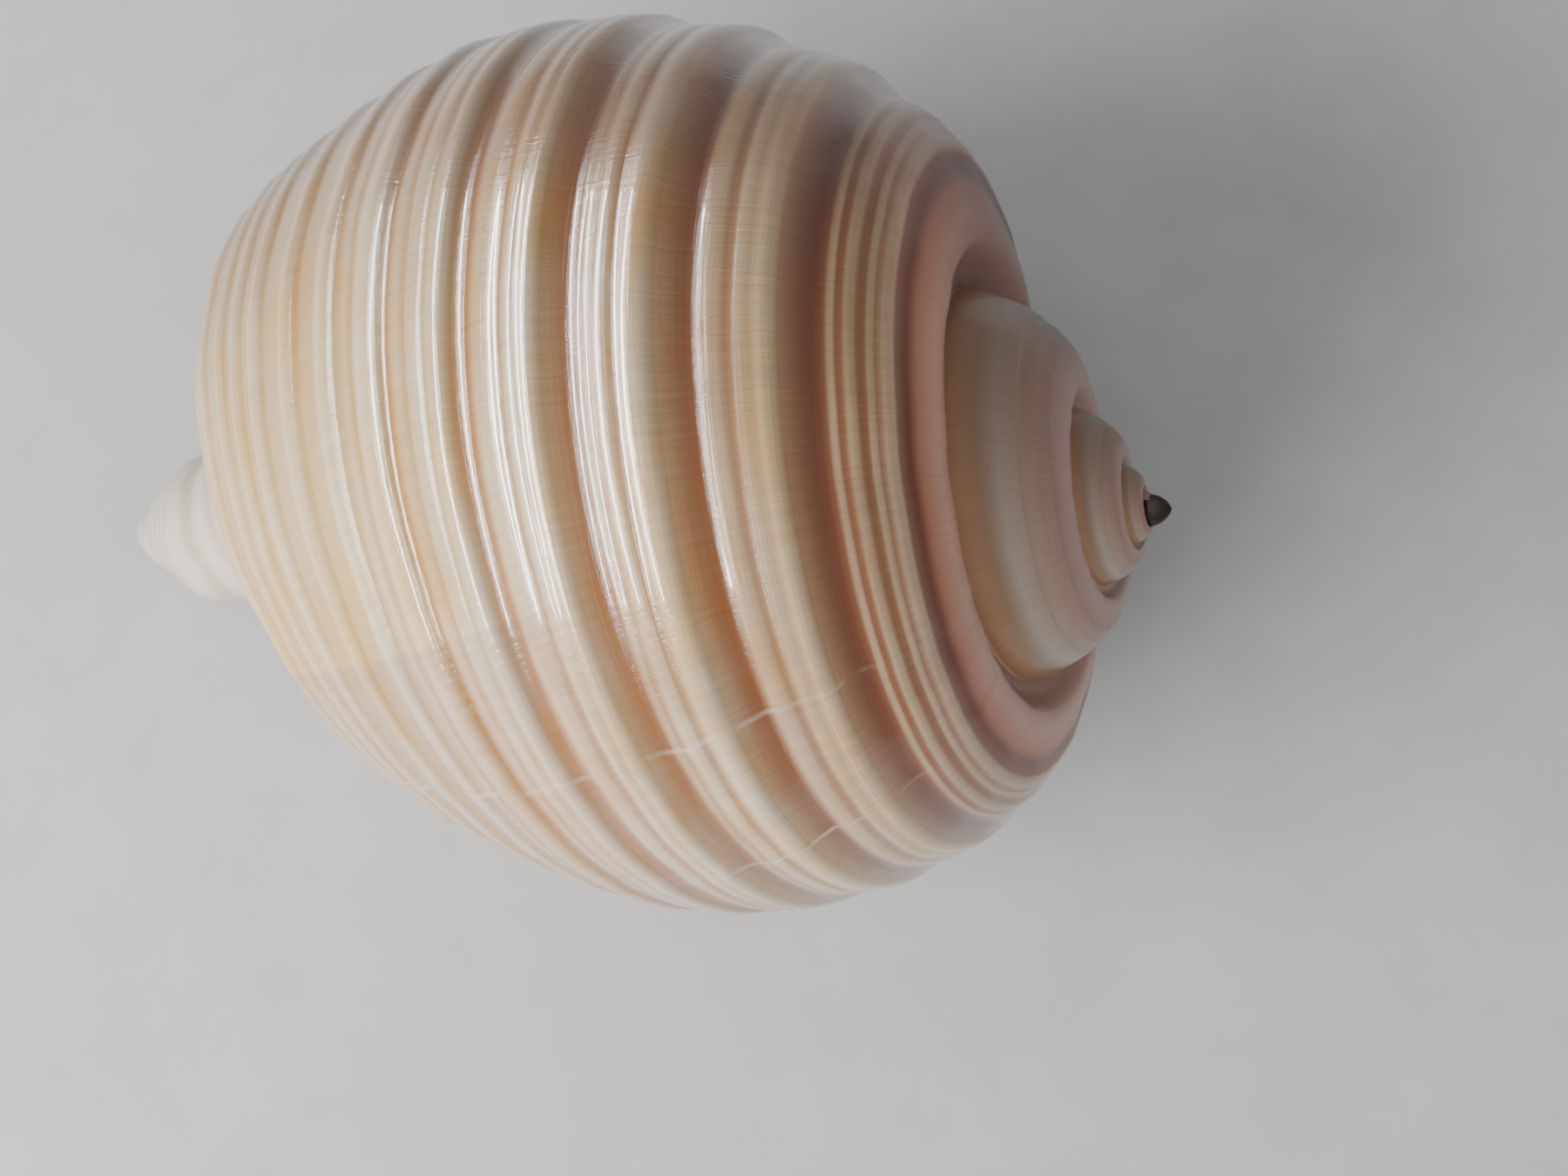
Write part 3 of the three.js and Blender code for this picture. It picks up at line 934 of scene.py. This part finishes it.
def shell_fields(nodes):
    """What the mesh stores for each place on the shell, and the patterns laid over it."""
    arc, turn, _ = nodes.read("growth")
    strand, tone, _ = nodes.read("marks")
    spout, inside, bulb = nodes.read("zone")
    age = nodes.total(turn, nodes.product(arc, GROWTH_LAG))
    lines = nodes.pattern(age, arc, GROWTH_LINES)
    line_shade = nodes.map(lines, *NOISE_SPREAD, *LINE_SHADES)
    clouds = nodes.pattern(age, arc, CLOUDS)
    return SimpleNamespace(
        arc=arc,
        turn=turn,
        age=age,
        strand=strand,
        tone=tone,
        spout=spout,
        inside=inside,
        bulb=bulb,
        lines=lines,
        line_tint=nodes.vector(line_shade, line_shade, line_shade),
        threads=nodes.pattern(age, arc, SPIRAL_THREADS),
        clouds=clouds,
        patches=nodes.pattern(age, arc, OCHRE_PATCHES),
        spire=nodes.map(turn, *SPIRE_TURNS, 1.0, 0.0),
        scars=scar_lines(nodes, arc, turn, age, clouds),
        rings=spout_rings(nodes, arc, turn),
    )


def scar_lines(nodes, arc, turn, age, clouds):
    """Thin growth scars, broken here and there."""
    crooked = nodes.map(nodes.pattern(arc, turn, SCAR_WAVER), 0.0, 1.0, *SCAR_SWAY)
    scars = 0.0
    for scar in SCAR_AGES:
        away = nodes.math("ABSOLUTE", nodes.total(nodes.math("SUBTRACT", age, scar), crooked))
        scars = nodes.math("ADD", scars, nodes.map(away, *SCAR_LINE, 1.0, 0.0), clamp=True)
    broken = nodes.map(clouds, *SCAR_NOISE, *SCAR_SHARES)
    return nodes.product(scars, nodes.map(arc, *SCAR_ARCS), broken)


def spout_rings(nodes, arc, turn):
    """Uneven rings around the spout, from 0 between them to 1 on them."""
    uneven = nodes.product(nodes.pattern(arc, turn, RING_WAVER), RING_UNEVENNESS)
    wave = nodes.math("SINE", nodes.total(nodes.product(arc, RING_RATE), uneven))
    return nodes.map(wave, -1.0, 1.0)


def rib_colour(nodes, at):
    """Brown in the grooves, tan toward the crests, cream on the strands, tinted along the growth, the
    newest with painted shade.
    """
    colour = nodes.mix(at.tone, nodes.ramp(at.arc, GROOVE_COLOURS), nodes.ramp(at.arc, CREST_COLOURS))
    cloudy = nodes.map(at.clouds, *NOISE_SPREAD, *STRAND_SHARES)
    pale = nodes.product(nodes.map(at.strand, *STRAND_RISE), cloudy, nodes.map(at.tone, *STRAND_TONES))
    colour = nodes.mix(pale, colour, nodes.ramp(at.arc, STRAND_COLOURS))
    ochre = nodes.product(nodes.map(at.patches, *OCHRE_NOISE), nodes.map(at.arc, *OCHRE_ARCS))
    colour = nodes.mix(ochre, colour, OCHRE_TINT, "MULTIPLY")
    # Painted shade: the age tints darken the newest growth, on the side turned from the light
    colour = nodes.mix(1.0, colour, nodes.ramp(at.age, AGE_TINTS_AND_SHADE, FULL_SHADE), "MULTIPLY")
    before_step = nodes.map(at.age, COLOUR_STEP_AGE - COLOUR_STEP_WIDTH, COLOUR_STEP_AGE, 1.0, 0.0)
    older = nodes.product(before_step, nodes.map(at.arc, *COLOUR_STEP_ARCS))
    return nodes.mix(older, colour, OLDER_TINT, "MULTIPLY")


def spire_colour(nodes, at):
    """Smooth and tan, browner on the far side: partly its own brown, partly painted shade of the side
    turned from the light.
    """
    far_side = nodes.math("SINE", nodes.math("RADIANS", at.turn))
    # Painted shade, with some of the shell's own brown, on the spire's far side
    browner_and_shaded = nodes.map(far_side, *FAR_SIDE, *FAR_SIDE_SHARES)
    browner_and_shaded = nodes.product(browner_and_shaded, nodes.map(at.arc, *FAR_SIDE_ARCS))
    return nodes.mix(browner_and_shaded, nodes.ramp(at.arc, SPIRE_COLOURS), linear(*FAR_SIDE_BROWN_AND_SHADE))


def spout_colour(nodes, at):
    """Nearly white, with faint tan rings."""
    tan_rings = nodes.map(at.rings, *RING_CRESTS, *RING_SHARES)
    return nodes.mix(tan_rings, linear(*SPOUT_COLOUR), linear(*RING_COLOUR))


def inside_colour(nodes, at):
    """Pale at the lip and tan farther in, by degrees from the lip's end."""
    colour = nodes.ramp(nodes.math("SUBTRACT", LIP_END, at.turn), INSIDE_COLOURS)
    return nodes.mix(INSIDE_LINE_SHARE, colour, at.line_tint, "MULTIPLY")


def shell_colour(nodes, at):
    """The ribs, with the spire, its reddish first whorl, scars, bulb, spout and inside over them."""
    first_whorl = nodes.map(at.turn, *FIRST_WHORL_TURNS, *FIRST_WHORL_SHARES)
    colour = nodes.mix(at.spire, rib_colour(nodes, at), spire_colour(nodes, at))
    colour = nodes.mix(first_whorl, colour, linear(*FIRST_WHORL_COLOUR))
    colour = nodes.mix(1.0, colour, at.line_tint, "MULTIPLY")
    colour = nodes.mix(nodes.product(at.scars, SCAR_PALENESS), colour, linear(*SCAR_COLOUR))
    colour = nodes.mix(at.bulb, colour, linear(*BULB_COLOUR))
    colour = nodes.mix(at.spout, colour, spout_colour(nodes, at))
    return nodes.mix(at.inside, colour, inside_colour(nodes, at))


def shell_roughness(nodes, at):
    from_lines = nodes.map(at.lines, *NOISE_SPREAD, *LINE_ROUGHNESS)
    from_clouds = nodes.map(at.clouds, *NOISE_SPREAD, *CLOUD_ROUGHNESS)
    return nodes.total(from_lines, from_clouds, nodes.product(at.bulb, BULB_ROUGHNESS))


def shell_gloss(nodes, at):
    """1 on the ribs, less on the spire, and 0 in the channel, inside and on the bulb."""
    past_channel = nodes.map(at.arc, *GLOSSY_ARCS)
    off_bulb = nodes.math("SUBTRACT", 1.0, at.bulb)
    return nodes.product(past_channel, off_bulb, nodes.map(at.spire, 0.0, 1.0, 1.0, SPIRE_GLOSS))


def shell_relief(nodes, at):
    """Low relief of growth lines, spiral threads, rings and scars, finer than the mesh."""
    height = nodes.total(
        nodes.product(at.lines, LINE_RELIEF),
        nodes.product(at.threads, THREAD_RELIEF),
        nodes.product(at.rings, at.spout, RING_RELIEF),
        nodes.product(at.scars, SCAR_RELIEF),
    )
    inputs = {"Strength": RELIEF_STRENGTH, "Distance": RELIEF_HEIGHT, "Height": height}
    return nodes.node("ShaderNodeBump", inputs).outputs[0]


def shell_material():
    material = bpy.data.materials.new("glossy_shell")
    nodes = Nodes(material)
    at = shell_fields(nodes)
    gloss = shell_gloss(nodes, at)
    shader = nodes.node(
        "ShaderNodeBsdfPrincipled",
        {
            "Base Color": shell_colour(nodes, at),
            "Roughness": shell_roughness(nodes, at),
            "Normal": shell_relief(nodes, at),
            "IOR": SHELL_IOR,
            "Specular IOR Level": nodes.map(gloss, 0.0, 1.0, *SPECULAR_LEVELS),
            "Coat Weight": nodes.map(gloss, 0.0, 1.0, *COAT_WEIGHTS),
            "Coat Roughness": COAT_ROUGHNESS,
        },
    )
    nodes.finish(shader)
    return material


# Floor, light and camera
FLOOR_HALF = 1.5
FLOOR_SPECKLE = (60.0, 4.0, 0.55)
FLOOR_TONES = ((196, 196, 196), (204, 204, 203))
FLOOR_ROUGHNESS = 0.7
CAMERA_FROM_APEX = (-0.0189, -0.0594, 0.1818)
CAMERA_FORWARD = (-0.1411, 0.2524, -0.9573)
CAMERA_UP = (-0.0323, 0.9653, 0.2593)
CAMERA_LENS = 35.0
CAMERA_SENSOR = 36.0
CAMERA_NEAR = 0.01
STRIP_PLACE = (-0.36, 0.10, 0.62)
STRIP_AIM = (0.0, 0.13, 0.05)
STRIP_SIZE = (1.45, 0.045)
STRIP_POWER = 23.0
WINDOW_PLACE = (-0.64, -0.46, 0.38)
WINDOW_SIZE = (0.90, 0.70)
WINDOW_POWER = 33.0
FILL_PLACE = (0.50, -0.45, 0.60)
FILL_SIZE = (0.80, 0.80)
FILL_POWER = 4.0
SHELL_MIDDLE = (0.0, 0.0, 0.05)
SKY_STRENGTH = 0.32
SKY_COLOUR = (0.95, 0.97, 1.0, 1.0)


def floor_material():
    material = bpy.data.materials.new("pale_floor")
    nodes = Nodes(material)
    spot = nodes.node("ShaderNodeTexCoord").outputs["Object"]
    speckle = nodes.map(nodes.noise(spot, *FLOOR_SPECKLE), *NOISE_SPREAD)
    dark, light = FLOOR_TONES
    colour = nodes.mix(speckle, linear(*dark), linear(*light))
    inputs = {"Base Color": colour, "Roughness": FLOOR_ROUGHNESS}
    nodes.finish(nodes.node("ShaderNodeBsdfPrincipled", inputs))
    return material


def make_floor():
    mesh = bpy.data.meshes.new("floor")
    half = FLOOR_HALF
    corners = [(-half, -half, 0.0), (half, -half, 0.0), (half, half, 0.0), (-half, half, 0.0)]
    mesh.from_pydata(corners, [], [(0, 1, 2, 3)])
    made = bpy.data.objects.new("floor", mesh)
    made.data.materials.append(floor_material())
    bpy.context.scene.collection.objects.link(made)
    return made


def make_light(name, spot, aim, size, power):
    """A soft rectangular light that faces the place it is aimed at."""
    lamp = bpy.data.lights.new(name, "AREA")
    lamp.shape = "RECTANGLE"
    lamp.size, lamp.size_y = size
    lamp.energy = power
    made = bpy.data.objects.new(name, lamp)
    made.location = spot
    facing = Vector(aim) - Vector(spot)
    made.rotation_mode = "QUATERNION"
    made.rotation_quaternion = facing.to_track_quat("-Z", "Y")
    bpy.context.scene.collection.objects.link(made)
    return made


def make_sky():
    world = bpy.data.worlds.new("studio")
    world.use_nodes = True
    background = world.node_tree.nodes["Background"]
    background.inputs["Color"].default_value = SKY_COLOUR
    background.inputs["Strength"].default_value = SKY_STRENGTH
    bpy.context.scene.world = world


def make_camera(apex):
    lens = bpy.data.cameras.new("camera")
    lens.lens = CAMERA_LENS
    lens.sensor_width = CAMERA_SENSOR
    lens.clip_start = CAMERA_NEAR
    made = bpy.data.objects.new("camera", lens)
    forward = Vector(CAMERA_FORWARD).normalized()
    right = forward.cross(Vector(CAMERA_UP)).normalized()
    up = right.cross(forward)
    turned = Matrix((right, up, -forward)).transposed().to_4x4()
    made.matrix_world = Matrix.Translation(apex + Vector(CAMERA_FROM_APEX)) @ turned
    bpy.context.scene.collection.objects.link(made)
    bpy.context.scene.camera = made


shell_object, apex_place = make_shell()
shell_object.data.materials.append(shell_material())
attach(shell_object, "root")
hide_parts("shell")

make_floor()

# The strip is seen in the gloss alone, and the other two light the shell without a mirror image
strip = make_light("strip", STRIP_PLACE, STRIP_AIM, STRIP_SIZE, STRIP_POWER)
strip.visible_diffuse = False
window = make_light("window", WINDOW_PLACE, SHELL_MIDDLE, WINDOW_SIZE, WINDOW_POWER)
window.visible_glossy = False
fill = make_light("fill", FILL_PLACE, SHELL_MIDDLE, FILL_SIZE, FILL_POWER)
fill.visible_glossy = False
make_sky()
make_camera(apex_place)
